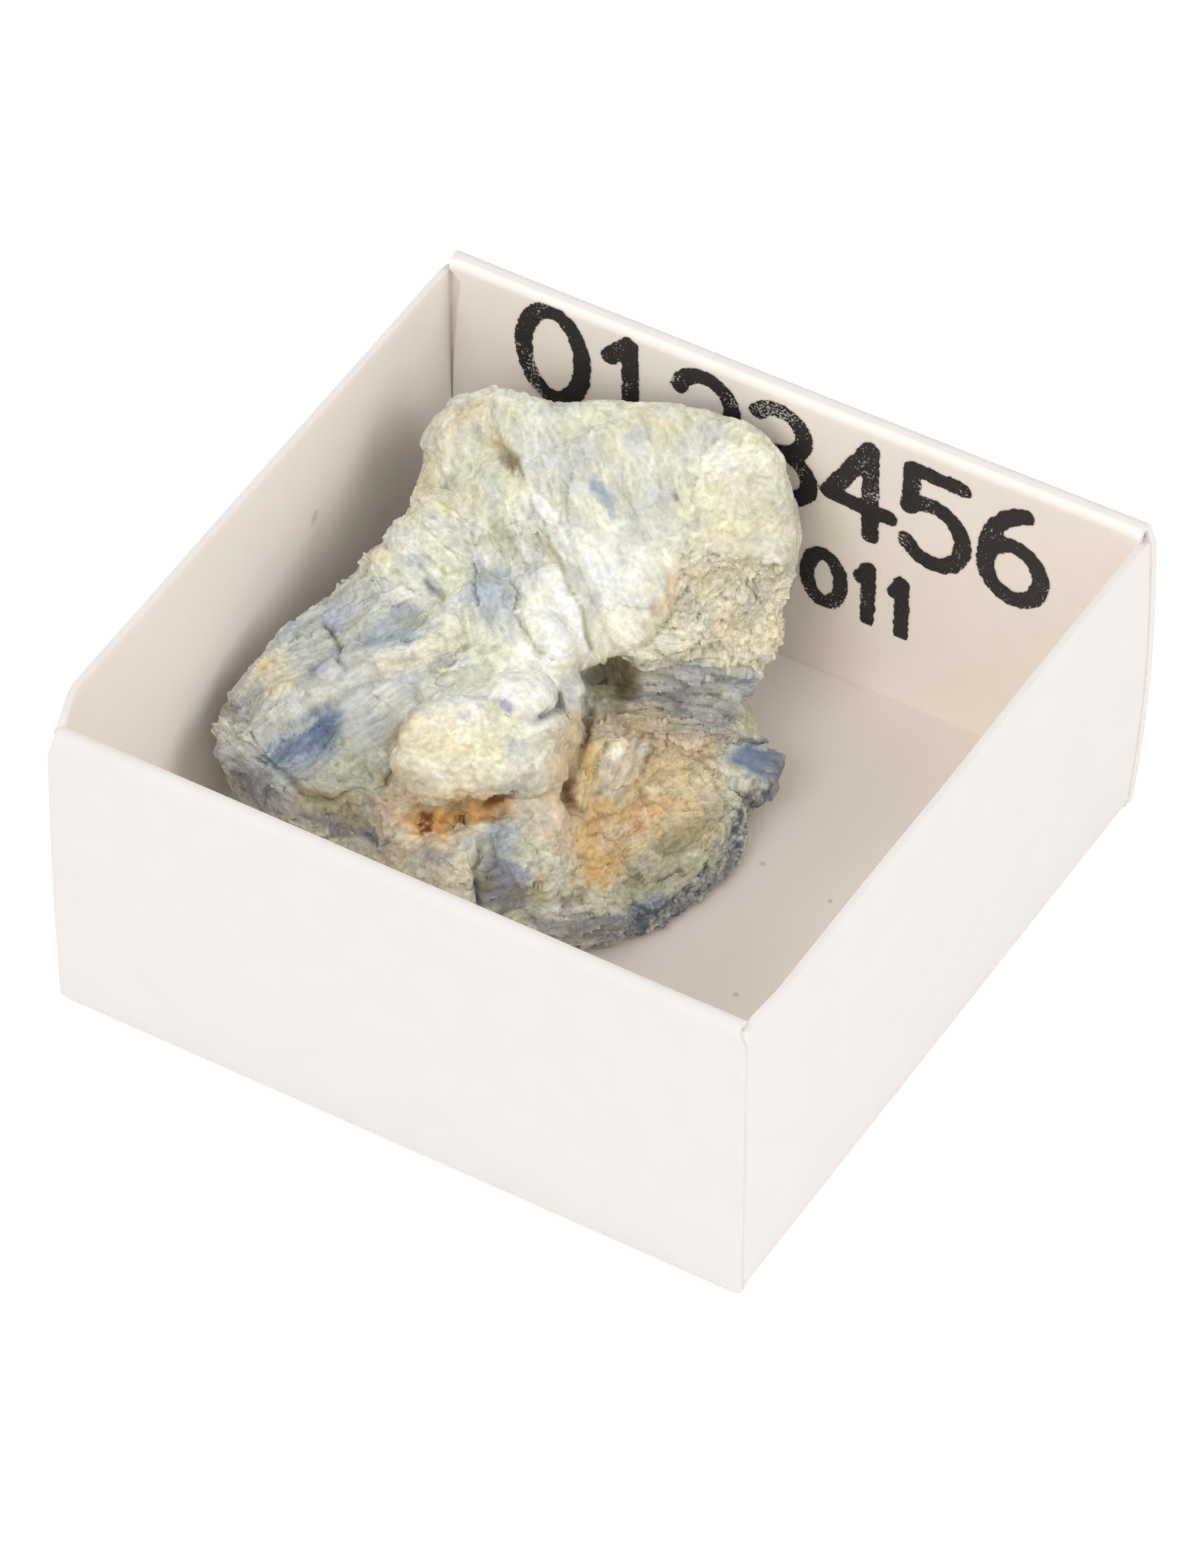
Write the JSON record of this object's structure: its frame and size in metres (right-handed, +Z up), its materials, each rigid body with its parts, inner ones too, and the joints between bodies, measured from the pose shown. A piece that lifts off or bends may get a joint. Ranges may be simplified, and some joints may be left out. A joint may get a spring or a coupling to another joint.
{
  "type": "kyanite specimen in a card tray",
  "caption": "Small lump of pale blue and cream bladed kyanite lying loose in a shallow open tray folded from white card.",
  "frame": {"origin": "centre of the tray's underside", "axes": "+Z up, out of the tray's open top; +X along the front wall; -Y is the front, a folded wall; +Y is the back wall, the other folded one"},
  "size_m": [0.0415, 0.0413, 0.0198],
  "materials": {
    "white_card": "smooth warm white card, matt, with creased folds",
    "kyanite": "pale blue-grey and greenish white blades with cream, ochre and deep blue patches, satin, slightly translucent"
  },
  "bodies": {
    "root": {"card_tray": "white_card", "kyanite_stone": "kyanite"}
  },
  "joints": []
}
